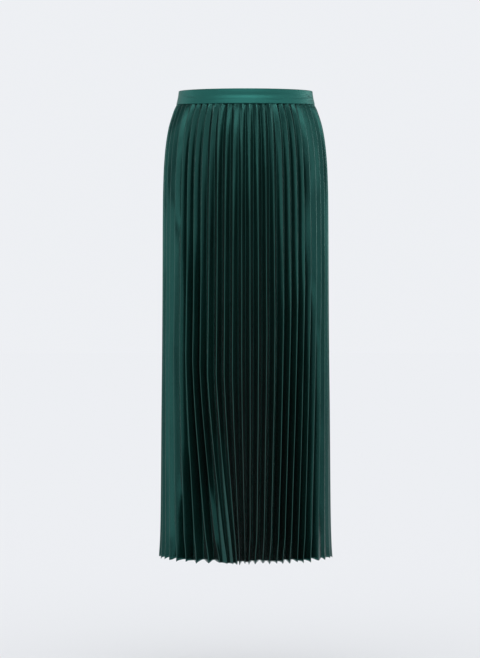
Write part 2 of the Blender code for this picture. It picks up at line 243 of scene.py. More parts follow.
# The camera's place, from the photo's own perspective, and the pale studio round the skirt. The
# lights are set for the photo's view.
EYE = Vector((-0.0109, -4.44, -0.459))
FOCAL_PIXELS = 2279.0
PICTURE_HEIGHT_PIXELS = 658.0
SENSOR_MM = 36.0
FLOOR_DROP = 1.13
FLOOR_RADIUS = 60.0
RING = 4.0  # the light panels' distance from the skirt
WORLD_COLOUR = (0.947, 0.965, 1.0, 1.0)
WORLD_SEEN, WORLD_LIT, WORLD_MIRRORED = 0.9, 1.1, 0.36  # as the camera, matt cloth and gloss meet it
FLOOR_COLOUR = (0.813, 0.813, 0.814, 1.0)
OVERHEAD_PLACE, OVERHEAD_AIM = (0.0, -2.0, 2.6), (0.0, 0.0, -0.3)
OVERHEAD_WIDTH, OVERHEAD_HEIGHT, OVERHEAD_WATTS = 2.0, 1.5, 90.0
# A panel's angle runs from the front to the right.
Panel = namedtuple("Panel", "name angle low high width watts")
PANELS = (
    Panel("front", 0.0, -0.3, 0.9, 1.3, 4.7),
    Panel("front_high", 0.0, 0.9, 2.3, 1.7, 12.0),
    Panel("front_right", 30.0, -0.3, 2.3, 2.0, 7.4),
    Panel("front_left", -45.0, -1.08, 0.9, 2.0, 8.4),
    Panel("front_left_high", -15.0, 0.9, 2.3, 1.7, 8.5),
    Panel("right_high", 60.0, 0.9, 2.3, 2.2, 16.4),
    Panel("right", 85.0, -0.3, 2.3, 2.2, 19.0),
    Panel("left", -85.0, -0.3, 0.9, 2.5, 11.0),
    Panel("left_high", -85.0, 0.9, 2.3, 2.5, 9.0),
    Panel("right_back", 115.0, -0.3, 0.9, 2.1, 42.0),
    Panel("right_back_high", 115.0, 0.9, 2.3, 2.1, 18.0),
    Panel("left_back", -115.0, -0.3, 2.3, 2.2, 30.0),
    Panel("back_left", -158.0, -0.6, 2.0, 1.4, 10.0),
    Panel("back_right", 165.0, -0.6, 2.0, 1.4, 13.0),
)


# ---------------------------------------------------------------- the skirt's form

def smooth_table(places, values, at):
    """Values at many places in a table, on a smooth curve through its rows."""
    places, values, at = (np.asarray(x, float) for x in (places, values, at))
    row = np.clip(np.searchsorted(places, at) - 1, 0, len(places) - 2)
    slopes = np.gradient(values, places)
    span = places[row + 1] - places[row]
    along = (at - places[row]) / span
    rise = values[row] * (2 * along**3 - 3 * along**2 + 1) + values[row + 1] * (3 * along**2 - 2 * along**3)
    lean = slopes[row] * (along**3 - 2 * along**2 + along) + slopes[row + 1] * (along**3 - along**2)
    return rise + lean * span


def ramp(at, start, end):
    """From 0 at start to 1 at end, level at both."""
    share = np.clip((np.asarray(at, float) - start) / (end - start), 0.0, 1.0)
    return share * share * (3 - 2 * share)


def band_share(drop):
    """How far the waistband has widened at a drop, from 0 at its top edge to 1 at the seam."""
    share = np.asarray(drop, float) / SECTIONS[0].drop
    return 0.4 * share + 0.6 * share**2


def section_column(name, drops):
    """One column of the table of sections, at many drops, the waistband's stretch included."""
    top, seam = getattr(WAIST, name), getattr(SECTIONS[0], name)
    cloth = smooth_table([s.drop for s in SECTIONS], [getattr(s, name) for s in SECTIONS],
                         np.maximum(drops, SECTIONS[0].drop))
    return np.where(drops < SECTIONS[0].drop, top + (seam - top) * band_share(drops), cloth)


def uneven(number, seed):
    """A repeatable offset between -1 and 1 for numbered folds."""
    return 0.6 * np.sin(2.4 * number + seed) + 0.4 * np.sin(5.1 * number + 1.7 * seed)


class HalfOutline:
    """Half of each level section, front or back, with places along it as shares of its length."""

    STEPS = 720

    def __init__(self, drops, side):
        self.drops, self.side = drops, side
        self.wide = section_column("half_width", drops)
        self.deep = section_column("front" if side == FRONT else "back", drops)
        self.turns = np.linspace(0.0, math.pi, self.STEPS + 1)
        across = np.diff(np.cos(self.turns)) * self.wide[:, None]
        along = np.diff(np.sin(self.turns)) * self.deep[:, None]
        passed = np.cumsum(np.hypot(across, along), axis=1)
        self.passed = np.concatenate([np.zeros((len(drops), 1)), passed], axis=1)
        self.length = self.passed[:, -1]

    def points(self, place, inset):
        """Points (row, column, xyz) at places along the outline, moved in from it."""
        turn = np.stack([np.interp(p * length, passed, self.turns)
                         for p, length, passed in zip(place, self.length, self.passed)])
        wide, deep = self.wide[:, None], self.deep[:, None]
        out_x, out_y = -np.cos(turn) / wide, self.side * np.sin(turn) / deep
        size = np.hypot(out_x, out_y)
        x = -wide * np.cos(turn) - inset * out_x / size
        y = self.side * deep * np.sin(turn) - inset * out_y / size
        lift = np.interp(self.drops, [row.drop for row in SIDE_LIFT], [row.lift for row in SIDE_LIFT])
        z = lift[:, None] * (1.0 - np.sin(turn)) - self.drops[:, None]
        return np.stack([x, y, z], axis=2)


def between(half, place, rows):
    """1 inside the places that a table gives for each drop and 0 outside them, with soft borders."""
    drops = [row.drop for row in rows]
    left = np.interp(half.drops, drops, [row.left for row in rows])[:, None]
    right = np.interp(half.drops, drops, [row.right for row in rows])[:, None]
    place = np.asarray(place)[None, :]
    return ramp(place - left, -OPEN_EDGE, OPEN_EDGE) * ramp(right - place, -OPEN_EDGE, OPEN_EDGE)


def openness(half, place):
    """How far the pleats beside the seams are pulled open, 0 to 1, at places along each section."""
    drops = half.drops[:, None]
    if half.side == BACK:
        closed = between(half, place, (Closed(0.0, BACK_OPEN, 1.0 - BACK_OPEN),))
        return (1.0 - closed) * ramp(drops, OPEN_START, OPEN_FULL)
    closed = between(half, place, CLOSED)
    crowded = between(half, place, [Closed(c.drop, c.left, c.left + DEEP_REACH) for c in CLOSED])
    crowded = crowded * ramp(drops, CROWD_START, CROWD_FULL)
    hip = (1.0 - between(half, place, (HIP_CALM,))) * ramp(-drops, -HIP_CALM_END, -HIP_CALM.drop)
    return (1.0 - closed) * ramp(drops, OPEN_START, OPEN_FULL) - DEEP_SHARE * np.maximum(crowded, hip)


def hanging_share(half, place):
    """What share of their depth the pleats keep where they hang flatter."""
    drops, place = half.drops[:, None], np.asarray(place)
    end = ramp(-np.minimum(place, 1.0 - place), -END_PLEATS - OPEN_EDGE, -END_PLEATS)[None, :]
    share = 1.0 - (1.0 - END_DEPTH) * end * ramp(drops, END_START, END_FULL)
    if half.side == FRONT:
        amount = np.interp(half.drops, [f.drop for f in FALLEN], [f.share for f in FALLEN])[:, None]
        share = share * (1.0 - (1.0 - FALLEN_DEPTH) * amount * between(half, place, FALLEN))
    return share


def folds_of(half, folds):
    """Where each numbered fold lies along the half outline and how far in, row by row."""
    number = np.arange(LAST_FOLD + 1)
    ridge = number % 2 == 1
    drops = half.drops[:, None]
    pitch = half.length[:, None] / PLEATS_A_HALF
    free = np.minimum(1.0, 2 * np.minimum(number, LAST_FOLD - number) / PLEATS_A_HALF)
    if half.side == BACK:
        free = np.where(number * 2 == LAST_FOLD, 0.0, free)
    loose = np.minimum(1.0, 3 * free)
    place = number / LAST_FOLD
    table = [f.place for f in folds]
    start = smooth_table(table, [f.start for f in folds], place)
    growth = np.maximum(0.0, (drops - start) / (LENGTH - start)) ** FOLDS_POWER
    slide = smooth_table(table, [f.slide for f in folds], place) * growth * np.where(ridge, 1.0, VALLEY_SLIDE)
    stray = 0.6 * np.sin(2 * math.pi * drops / STRAY_LONG + 2.1 * number) + 0.4 * np.sin(
        2 * math.pi * drops / STRAY_SHORT + 3.7 * number)
    slide = slide + pitch * loose * (SPACING_UNEVEN * uneven(number, 1.0) + STRAY * stray)
    swing = 0.5 * uneven(number, 5.0)
    if half.side == FRONT:
        swing = swing + np.interp(place, HOOK_PLACES, HOOK_SHARES)
    slide = slide + HOOK * loose * ridge * swing * ramp(drops, LENGTH - HOOK_RISE, LENGTH)
    slide = np.where(free == 0.0, 0.0, slide)
    swell = smooth_table(table, [f.swell for f in folds], place) * growth
    depth = section_column("pleat", half.drops)[:, None] * (
        1.0 + DEPTH_UNEVEN * uneven(number // 2, 2.0) * free)
    pressed = BACK_PRESSED * loose
    if half.side == FRONT:
        pressed = ramp(np.minimum(place, 1.0 - place), PRESSED_FROM, PRESSED_FULL)
    sprung = ramp(drops, BAND_HEIGHT, BAND_HEIGHT + SPREAD)
    depth = depth * (TUCK_PLEAT + (1.0 - TUCK_PLEAT) * sprung)
    at_seam = (number == 0) | (number == LAST_FOLD)
    filled = ramp(drops, BAND_HEIGHT, BAND_HEIGHT + SEAM_PLEAT_OVER)
    depth = depth * np.where(at_seam, SEAM_PLEAT + (1.0 - SEAM_PLEAT) * filled, 1.0)
    # where the folds crowd together the pleats stand deeper, since a flank keeps its own width
    spacing = np.gradient(place * half.length[:, None] + slide, axis=1)
    depth = depth * (GATHERED - (GATHERED - OPENED) * openness(half, place))
    depth = np.sqrt(np.maximum(depth**2 + (pitch / 2)**2 - spacing**2, (DEPTH_LEFT * depth)**2))
    over_hips = ramp(-drops, -HIP_END, -HIP_FULL)
    depth = depth * hanging_share(half, place) * (1.0 + HIP_DEPTH * pressed * over_hips)
    inset = np.where(ridge, 0.0, depth) - swell + TUCK_INSET * (1.0 - sprung)
    return place + slide / half.length[:, None], inset


# ---------------------------------------------------------------- cloth into meshes

def grid_mesh(name, points, metres_across, metres_down, closed=False):
    """A mesh of quads from points (row, column, xyz), with a UV map in metres of flat cloth."""
    rows, columns = points.shape[:2]
    index = np.arange(rows * columns).reshape(rows, columns)
    ends = np.roll(index, -1, axis=1) if closed else index[:, 1:]
    starts = index if closed else index[:, :-1]
    quads = np.stack([starts[:-1], starts[1:], ends[1:], ends[:-1]], axis=2).reshape(-1, 4)
    mesh = bpy.data.meshes.new(name)
    mesh.from_pydata(points.reshape(-1, 3).tolist(), [], quads.tolist())
    flat = np.stack([metres_across, metres_down], axis=2).reshape(-1, 2)
    uv = mesh.uv_layers.new(name="cloth")
    uv.data.foreach_set("uv", flat[quads.reshape(-1)].reshape(-1))
    mesh.polygons.foreach_set("use_smooth", np.ones(len(quads), bool))
    made = bpy.data.objects.new(name, mesh)
    bpy.context.collection.objects.link(made)
    return made


def normals_of(points):
    """The cloth's own direction at each point of a grid."""
    down = np.gradient(points, axis=0)
    across = np.gradient(points, axis=1)
    normal = np.cross(down, across)
    return normal / np.maximum(np.linalg.norm(normal, axis=2, keepdims=True), 1e-12)


def apply_modifiers(piece):
    """Makes a piece's modifiers part of its mesh."""
    bpy.ops.object.select_all(action="DESELECT")
    bpy.context.view_layer.objects.active = piece
    piece.select_set(True)
    for modifier in list(piece.modifiers):
        bpy.ops.object.modifier_apply(modifier=modifier.name)
    piece.select_set(False)


def thicken(piece, thickness, inner_slot=0):
    """Gives a sheet its thickness, inwards, its inner face in another of its materials."""
    wall = piece.modifiers.new("wall", "SOLIDIFY")
    wall.thickness = thickness
    wall.offset = -1.0
    wall.material_offset = inner_slot
    apply_modifiers(piece)


def cloth_rows():
    """Drops of the rows of cloth, close together at the waist seam and at the hem."""
    levels = (BAND_HEIGHT - TUCK,) + ROW_LEVELS + (LENGTH - HEM_BEND, LENGTH)
    return np.concatenate([np.linspace(start, end, count, endpoint=end == LENGTH)
                           for start, end, count in zip(levels, levels[1:], ROW_COUNTS)])


def at_drop(values, drops, drop):
    """Points or directions (row, column, xyz) of a cloth at one drop between its rows."""
    return np.array([np.interp(drop, drops, values[:, c, k])
                     for c in range(values.shape[1]) for k in range(3)]).reshape(-1, 3)


def pleated_cloth(name, side, folds, first, last, finishes):
    """A panel of pleats from one seam to the next, with its turned-up hem and seam allowances."""
    drops = cloth_rows()
    half = HalfOutline(drops, side)
    fold_place, fold_inset = folds_of(half, folds)
    flank = np.repeat(np.arange(first, last), len(FLANK_STEPS))
    rising = np.array(FLANK_STEPS)
    falling = np.concatenate([[0.0], 1.0 - rising[:0:-1]])
    step = np.concatenate([rising if number % 2 == 0 else falling for number in range(first, last)])
    flank, step = np.append(flank, last - 1), np.append(step, 1.0)
    place = fold_place[:, flank] * (1 - step) + fold_place[:, flank + 1] * step
    inset = fold_inset[:, flank] * (1 - step) + fold_inset[:, flank + 1] * step
    slack = ramp(drops, BAND_HEIGHT, BOW_FULL)[:, None]
    wave = 2 * math.pi * drops[:, None] / BOW_WAVE
    bow = 0.5 * np.sin(1.9 * flank) + 0.5 * np.sin(wave + 2.6 * flank)
    inset = inset + FLANK_BOW * bow * slack * 4 * step * (1 - step)
    points = half.points(place, inset)
    on_fold = np.flatnonzero((step == 0.0) & (flank > first))
    beside = (points[:, on_fold - 1] + points[:, on_fold + 1]) / 2
    points[:, on_fold] = beside  # a pressed fold is flat across its tip
    # the hem's teeth: the ridges hang lower, and the cloth arches up into each valley
    from_ridge = np.where(flank % 2 == 1, step, 1 - step)
    tooth = TOOTH / 2 * (1 - 2 * (2 * from_ridge - from_ridge**2))
    fold = flank + np.round(step)
    tooth = tooth * hanging_share(half, (flank + step) / LAST_FOLD) * (
        TOOTH_SHARE + TOOTH_UNEVEN * uneven(fold, 7.0))
    tooth = tooth + HEM_UNEVEN * (uneven(flank, 3.0) * (1 - step) + uneven(flank + 1, 3.0) * step)
    points[:, :, 2] -= tooth * np.clip((drops[:, None] - LENGTH + HEM_BEND) / HEM_BEND, 0, 1) ** 2
    # the two panels at a seam each keep half a gap from it
    for column, number in ((0, first), (-1, last)):
        if number in (0, LAST_FOLD):
            points[:, column, 1] += side * SEWN_GAP / 2
        else:
            points[:, column, 0] += SEWN_GAP / 2 * (1 if column == 0 else -1)
    normal = normals_of(points) * (1 if side == FRONT else -1)
    across = (flank + step) * PLEAT_FLANK
    points, normal, across = with_allowances(points, normal, across, drops, side, first, last)
    across = np.broadcast_to(across, points.shape[:2])
    down = np.broadcast_to(drops[:, None], points.shape[:2])
    # the hem, turned up inside
    edge = len(drops) - 1
    turned = [points[edge] - normal[edge] * HEM_STACK * 0.5 - (0, 0, HEM_STACK * 0.3)]
    for up in HEM_TURN_ROWS:
        drop = LENGTH - up * HEM_TURN
        turned.append(at_drop(points, drops, drop) - at_drop(normal, drops, drop) * HEM_STACK)
    points = np.concatenate([points, np.array(turned)], axis=0)
    across = np.concatenate([across, np.repeat(across[-1:], len(turned), axis=0)], axis=0)
    lengths = LENGTH + np.array(HEM_TURN_MAP)
    down = np.concatenate([down, np.broadcast_to(lengths[:, None], (len(turned), down.shape[1]))])
    piece = grid_mesh(name, points if side == FRONT else points[:, ::-1], across, down)
    for finish in finishes:
        piece.data.materials.append(finish)
    thicken(piece, CLOTH, inner_slot=1)
    return piece


def with_allowances(points, normal, across, drops, side, first, last):
    """The cloth past each seam line, turned inwards and overlocked edge to edge with its neighbour's."""
    made_points, made_normals, made_across = [points], [normal], [across]
    for column, number in ((0, first), (-1, last)):
        if number in (0, LAST_FOLD):
            inward = np.array([1.0 if number == 0 else -1.0, 0.0, 0.0])
            face = np.array([0.0, side, 0.0])
            reach = ramp(drops, BAND_HEIGHT + 0.001, BAND_HEIGHT + 0.012)
        else:
            inward = np.array([0.0, -side, 0.0])
            face = np.array([-1.0 if column == 0 else 1.0, 0.0, 0.0])
            reach = ramp(drops, ZIP_LENGTH + 0.004, ZIP_LENGTH + 0.016)
        seam = points[:, column]
        ripple = (ALLOWANCE_RIPPLE * np.sin(drops * 96.0 + number) * reach)[:, None]
        cut = (1 + 0.04 * np.sin(drops * 41.0))[:, None]
        strips = [seam + inward * (ALLOWANCE_LEAST + (far - ALLOWANCE_LEAST) * reach[:, None]) * cut
                  + np.abs(face) * (ripple * (far / ALLOWANCE) ** 2) for far in ALLOWANCE_ROWS]
        strip_normals = [np.broadcast_to(face, seam.shape)] * len(ALLOWANCE_ROWS)
        order = slice(None, None, -1) if column == 0 else slice(None)
        strip_across = across[column] + np.array(ALLOWANCE_ROWS) * (-1 if column == 0 else 1)
        strip = [np.stack(strips[order], axis=1), np.stack(strip_normals[order], axis=1),
                 strip_across[order]]
        for made, new in zip((made_points, made_normals, made_across), strip):
            made.insert(0 if column == 0 else len(made), new)
    return (np.concatenate(made_points, axis=1), np.concatenate(made_normals, axis=1),
            np.concatenate(made_across))


def behind_the_pleats(drops):
    """How far inside the outline of the back the zip's tape lies, at each drop."""
    deep = np.maximum(drops, SECTIONS[0].drop)
    pitch = HalfOutline(deep, BACK).length / PLEATS_A_HALF
    pleat = section_column("pleat", deep)
    behind = pleat + PLEAT_WALL / np.sin(np.arctan2(pitch / 2, pleat))
    return BAND_WALL + (behind - BAND_WALL) * np.minimum(1.0, drops / SECTIONS[0].drop) + SEAM_GAP


def tape_points(drops, across, further):
    """Points (row, column, xyz) on the tape's outer face, or further inside, at metres from its middle."""
    half = HalfOutline(drops, BACK)
    place = 0.5 + np.asarray(across)[None, :] / half.length[:, None]
    return half.points(place, behind_the_pleats(drops)[:, None] + further)


def zip_tape_cloth(finish):
    """The woven tape, with a rib beside each edge and a fold down the middle where its halves meet."""
    drops = np.linspace(TAPE_TOP, ZIP_LENGTH, 80)
    across = np.concatenate([np.linspace(-1, -0.16, 9), np.linspace(-0.12, 0.12, 9), np.linspace(0.16, 1, 9)])
    across = across * TAPE_HALF_WIDTH
    middle = TAPE_SEAM * np.exp(-(across / TAPE_SEAM_WIDTH) ** 2)
    ribs = TAPE_RIB * np.cos(across * 2 * math.pi / TAPE_RIB_PITCH)
    piece = grid_mesh("zip_tape_weave", tape_points(drops, across, (middle + ribs)[None, :]),
                      np.broadcast_to(across, (len(drops), len(across))),
                      np.broadcast_to(drops[:, None], (len(drops), len(across))))
    # a grid faces inwards on this side, so its first face is turned out
    piece.data.flip_normals()
    piece.data.materials.append(finish)
    thicken(piece, TAPE_CLOTH)
    return piece


def coil_turn(name):
    """One nylon turn of the zip's coil: a rounded bar with a swollen head."""
    bpy.ops.object.select_all(action="DESELECT")
    bpy.ops.mesh.primitive_cube_add(size=1.0, scale=(COIL_WIDE, COIL_HIGH, COIL_THICK))
    turn = bpy.context.object
    turn.name = name
    bpy.ops.object.transform_apply(location=False, rotation=False, scale=True)
    bpy.ops.object.mode_set(mode="EDIT")
    bpy.ops.mesh.select_mode(type="FACE")
    bpy.ops.mesh.select_all(action="DESELECT")
    bpy.ops.object.mode_set(mode="OBJECT")
    for face in turn.data.polygons:
        face.select = face.normal.x < -0.9
    bpy.ops.object.mode_set(mode="EDIT")
    bpy.ops.mesh.extrude_region_move(TRANSFORM_OT_translate={"value": (-COIL_THICK, 0.0, 0.0)})
    bpy.ops.transform.resize(value=(1.0, 1.25, 1.25))
    bpy.ops.mesh.select_all(action="SELECT")
    bpy.ops.mesh.bevel(offset=COIL_THICK * 0.3, segments=1, affect="EDGES")
    bpy.ops.mesh.normals_make_consistent(inside=False)
    bpy.ops.object.mode_set(mode="OBJECT")
    bpy.ops.object.shade_smooth_by_angle(angle=math.radians(50))
    return turn


def zip_coil(finish):
    """The closed coil's turns, in two rows that mesh on the tape's inner face."""
    pattern = coil_turn("coil_pattern")
    turns = []
    for side in (-1, 1):
        drops = np.arange(COIL_TOP, ZIP_LENGTH - COIL_END, COIL_PITCH)
        drops = drops + (COIL_PITCH / 2 if side > 0 else 0.0)
        further = TAPE_CLOTH + COIL_SEAT + COIL_HIGH / 2
        middles = tape_points(drops, [side * COIL_OFFSET], further)[:, 0]
        lean = np.arctan2(np.gradient(middles[:, 1]), -np.gradient(middles[:, 2]))
        for middle, angle in zip(middles, lean):
            turn = bpy.data.objects.new("coil_turn", pattern.data.copy())
            bpy.context.collection.objects.link(turn)
            turn.data.transform(Matrix.Translation(middle) @ Matrix.Rotation(angle, 4, "X")
                                @ Matrix.Rotation(0.0 if side > 0 else math.pi, 4, "Z"))
            turns.append(turn)
    bpy.data.objects.remove(pattern)
    for turn in turns:
        turn.select_set(True)
    bpy.context.view_layer.objects.active = turns[0]
    bpy.ops.object.join()
    coil = bpy.context.object
    coil.name = "zip_coil"
    coil.data.materials.append(finish)
    return coil


def band_profile():
    """The waistband's outline across its width: (drop, inset) from the outer lower edge, over the
    top fold, to the inner lower edge."""
    outer = [(BAND_HEIGHT - up, inset) for up, inset in BAND_LOWER_EDGE]
    outer += [(drop, 0.0) for drop in np.linspace(0.0272, 0.0024, 29)]
    half = BAND_WALL / 2
    over = [(BAND_FOLD - BAND_FOLD * math.sin(turn), half - half * math.cos(turn))
            for turn in np.linspace(0.15, math.pi - 0.15, 9)]
    inner = [(drop, BAND_WALL) for drop in np.linspace(0.0026, 0.0265, 8)]
    inner += [(BAND_HEIGHT - 0.0006, BAND_WALL - 0.0001), (BAND_HEIGHT - 0.0001, BAND_WALL - 0.0006)]
    return np.array(outer + over + inner)


def band_relief(side, place, drops):
    """How far in the waistband's soft creases take its outer face, at places and drops."""
    relief = np.zeros((len(drops), len(place)))
    for crease in BAND_CREASES:
        if crease.side == side:
            line = crease.drop + crease.lean * (place - crease.place)
            near = np.exp(-((place - crease.place) / crease.reach) ** 2)
            trough = np.exp(-((drops[:, None] - line) / crease.width) ** 2)
            relief = relief + crease.depth * near * trough
    edge = np.minimum(1.0, np.minimum(place, 1.0 - place) / 0.02)
    return relief * (edge if side == FRONT else 1.0)


def waistband_cloth(finish):
    """The waistband from one end at the centre back right round to the other."""
    profile = band_profile()
    drops, inset = profile[:, 0], profile[:, 1]
    outside = (inset < BAND_WALL / 2) & (drops > BAND_FOLD)
    rings = []
    for side, place in ((BACK, np.linspace(0.5, 0.0, BAND_STATIONS // 2, endpoint=False)),
                        (FRONT, np.linspace(0.0, 1.0, BAND_STATIONS, endpoint=False)),
                        (BACK, np.linspace(1.0, 0.5, BAND_STATIONS // 2 + 1))):
        half = HalfOutline(drops, side)
        relief = np.where(outside[:, None], band_relief(side, place, drops), 0.0)
        # inside, the facing's lower edge stands over the tops of the pleats, but not over the zip
        clear = 1.0
        if side == BACK:
            clear = ramp(np.abs(place - 0.5) * half.length.mean(), ZIP_CLEAR_FROM, ZIP_CLEAR)
        facing = FACING * ramp(drops, FACING_FROM, BAND_HEIGHT - 0.001)[:, None] * clear
        relief = relief + np.where((inset > BAND_WALL / 2)[:, None], facing, 0.0)
        places = np.broadcast_to(place, (len(drops), len(place)))
        rings.append(half.points(places, inset[:, None] + relief))
    points = np.concatenate(rings, axis=1)
    points[:, 0, 0] -= SEAM_GAP
    points[:, -1, 0] += SEAM_GAP
    around = np.linspace(0.0, BAND_MAP_LENGTH, points.shape[1])
    across = np.broadcast_to(around, points.shape[:2])
    travelled = np.concatenate([[0.0], np.cumsum(np.hypot(np.diff(drops), np.diff(inset)))])
    down = np.broadcast_to(travelled[:, None], points.shape[:2])
    piece = grid_mesh("waistband_cloth", points, across, down)
    close_band(piece, points.shape[0], points.shape[1])
    piece.data.materials.append(finish)
    return piece


def close_band(piece, rows, columns):
    """Joins the band's lower edges and closes its two ends."""
    build = bmesh.new()
    build.from_mesh(piece.data)
    build.verts.ensure_lookup_table()
    for c in range(columns - 1):
        build.faces.new([build.verts[i] for i in (c, c + 1, (rows - 1) * columns + c + 1,
                                                  (rows - 1) * columns + c)])
    for c in (0, columns - 1):
        build.faces.new([build.verts[r * columns + c] for r in range(rows)])
    bmesh.ops.recalc_face_normals(build, faces=build.faces)
    for face in build.faces:
        face.smooth = True
    build.to_mesh(piece.data)
    build.free()


# ---------------------------------------------------------------- finishes

class Wire:
    """A shader socket that Python's arithmetic can act on."""

    def __init__(self, tree, socket):
        self.tree, self.socket = tree, socket

    def math(self, operation, *values):
        node = self.tree.nodes.new("ShaderNodeMath")
        node.operation = operation
        for socket, value in zip(node.inputs, values):
            join(self.tree, socket, value)
        return Wire(self.tree, node.outputs[0])

    def turned(self, operation, *values):
        return self.math(operation, self, *values)

    def __add__(self, other):
        return self.math("ADD", self, other)

    def __radd__(self, other):
        return self.math("ADD", other, self)

    def __sub__(self, other):
        return self.math("SUBTRACT", self, other)

    def __rsub__(self, other):
        return self.math("SUBTRACT", other, self)

    def __mul__(self, other):
        return self.math("MULTIPLY", self, other)

    def __rmul__(self, other):
        return self.math("MULTIPLY", other, self)

    def __pow__(self, other):
        return self.math("POWER", self, other)


def join(tree, socket, value):
    """Links a wire to a socket, or sets a plain value on it."""
    if isinstance(value, Wire):
        tree.links.new(value.socket, socket)
    else:
        socket.default_value = value


def add_node(tree, kind, settings=None, output=0, **inputs):
    """Adds a node of a kind: its settings first, then its sockets."""
    made = tree.nodes.new("ShaderNode" + kind)
    for setting, value in (settings or {}).items():
        setattr(made, setting, value)
    for socket, value in inputs.items():
        join(tree, made.inputs[socket.replace("_", " ")], value)
    return Wire(tree, made.outputs[output])


class Finish:
    """A node material, built node by node round one Principled shader."""

    def __init__(self, name, **constants):
        self.material = bpy.data.materials.new(name)
        self.material.use_nodes = True
        self.tree = self.material.node_tree
        self.shader = self.tree.nodes["Principled BSDF"]
        for socket, value in constants.items():
            self.shader.inputs[socket.replace("_", " ")].default_value = value

    def node(self, kind, settings=None, output=0, **inputs):
        return add_node(self.tree, kind, settings, output, **inputs)

    def cloth_map(self, across, down):
        """The cloth's own metres, scaled: across the pleats and down them."""
        flat = self.node("TexCoord", output="UV")
        return self.node("Mapping", Vector=flat, Scale=(across, down, 1.0))

    def mix(self, share, first, second):
        """One colour turning into another as the share goes from 0 to 1."""
        return self.node("Mix", {"data_type": "RGBA"}, "Result", Factor=share, A=first, B=second)

    def feed(self, **inputs):
        """Feeds the shader's sockets and hands the material over."""
        for socket, value in inputs.items():
            join(self.tree, self.shader.inputs[socket.replace("_", " ")], value)
        return self.material


def satin(name, deep, light, roughness, metallic, wear_and_highlight=None, **constants):
    """Satin's face: long floats that run down the cloth, with faint slubs and streaks. Given a ridge colour,
    the pressed ridges are tinted towards it, more so towards the hem: partly wear, partly a painted greyish
    highlight."""
    finish = Finish(name, Metallic=metallic, **constants)
    streaks = finish.node("TexNoise", Vector=finish.cloth_map(420.0, 3.0), Scale=1.0, Detail=3.0)
    clouds = finish.node("TexNoise", Vector=finish.cloth_map(26.0, 9.0), Scale=1.0, Detail=2.0)
    weave = finish.node("TexWave", {"wave_type": "BANDS", "bands_direction": "X"},
                        Vector=finish.cloth_map(5200.0, 700.0), Scale=1.0, Distortion=2.5, Detail=1.0)
    colour = finish.mix(0.45 * streaks + 0.55 * clouds, deep, light)
    rough = roughness - 0.05 + 0.10 * clouds + 0.04 * streaks
    # a greyish line along each pressed ridge, stronger towards the hem: partly wear, partly painted highlight
    if wear_and_highlight:
        flat = finish.node("TexCoord", output="UV")
        across = finish.node("SeparateXYZ", Vector=flat)
        down = finish.node("SeparateXYZ", output=1, Vector=flat)
        wear_and_highlight_mask = (across * (1.0 / PLEAT_FLANK)).turned("PINGPONG", 1.0) ** WEAR_AND_HIGHLIGHT_EDGE
        wear_and_highlight_mask = wear_and_highlight_mask * (down * WEAR_AND_HIGHLIGHT_DOWN).turned("SMOOTH_MIN", 1.0, 0.3)
        colour = finish.mix(wear_and_highlight_mask, colour, wear_and_highlight)
        rough = rough + 0.25 * wear_and_highlight_mask
    relief = 0.3 * weave + 1.0 * streaks
    bump = finish.node("Bump", Strength=0.15, Distance=0.0003, Height=relief)
    return finish.feed(Base_Color=colour, Roughness=rough, Normal=bump)


def pleated_satin():
    return satin("pleated_satin_face", SATIN_DEEP, SATIN_LIGHT, roughness=0.18, metallic=0.93,
                 wear_and_highlight=SATIN_RIDGE_WEAR_AND_HIGHLIGHT, Sheen_Weight=0.03, Sheen_Roughness=0.5)


def satin_reverse():
    return satin("satin_reverse", REVERSE_DEEP, REVERSE_LIGHT, roughness=0.62, metallic=0.15)


def waistband_satin():
    return satin("waistband_satin_face", BAND_DEEP, BAND_LIGHT, roughness=0.52, metallic=0.80,
                 Specular_IOR_Level=0.2)


def enamel():
    finish = Finish("zip_enamel_coat", Metallic=0.7, Coat_Weight=0.4)
    spots = finish.node("TexNoise", Vector=finish.node("TexCoord", output="Object"), Scale=900.0)
    colour = finish.mix(spots, ENAMEL_DEEP, ENAMEL_LIGHT)
    return finish.feed(Base_Color=colour, Roughness=0.22 + 0.14 * spots)


def tape_cloth():
    finish = Finish("zip_tape_weave", Roughness=0.8)
    ribs = finish.node("TexWave", {"wave_type": "BANDS", "bands_direction": "Y"},
                       Vector=finish.node("TexCoord", output="UV"), Scale=320.0, Distortion=1.0)
    colour = finish.mix(ribs, TAPE_DEEP, TAPE_LIGHT)
    bump = finish.node("Bump", Strength=0.4, Distance=0.0002, Height=ribs)
    return finish.feed(Base_Color=colour, Normal=bump)


def nylon():
    finish = Finish("coil_nylon", Specular_IOR_Level=0.5)
    spots = finish.node("TexNoise", Vector=finish.node("TexCoord", output="Object"), Scale=1400.0)
    colour = finish.mix(spots, NYLON_DEEP, NYLON_LIGHT)
    return finish.feed(Base_Color=colour, Roughness=0.32 + 0.12 * spots)


# ---------------------------------------------------------------- the pieces

def settle(piece, body, slot, *nodes):
    """Puts a piece on its body and in place of its solids. Its slot is not used."""
    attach(piece, body)
    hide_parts(*nodes)
    return piece


def make_panels():
    face, reverse = pleated_satin(), satin_reverse()
    for name, side, folds, first, last, node in (
            ("front_pleats", FRONT, FRONT_FOLDS, 0, LAST_FOLD, "front_panel"),
            ("back_pleats_left", BACK, BACK_FOLDS, 0, LAST_FOLD // 2, "back_panel_left"),
            ("back_pleats_right", BACK, BACK_FOLDS, LAST_FOLD // 2, LAST_FOLD, "back_panel_right")):
        piece = pleated_cloth(name, side, folds, first, last, (face, reverse))
        settle(piece, "skirt", "pleated_satin", node)
        share = (last - first) / LAST_FOLD


def make_waistband():
    piece = settle(waistband_cloth(waistband_satin()), "skirt", "waistband_satin", "waistband")


def boxed(name, size, middle):
    """A block to shape further, at its size and place."""
    bpy.ops.object.select_all(action="DESELECT")
    bpy.ops.mesh.primitive_cube_add(size=1.0, location=middle, scale=size)
    made = bpy.context.object
    made.name = name
    bpy.ops.object.transform_apply(location=True, rotation=False, scale=True)
    return made


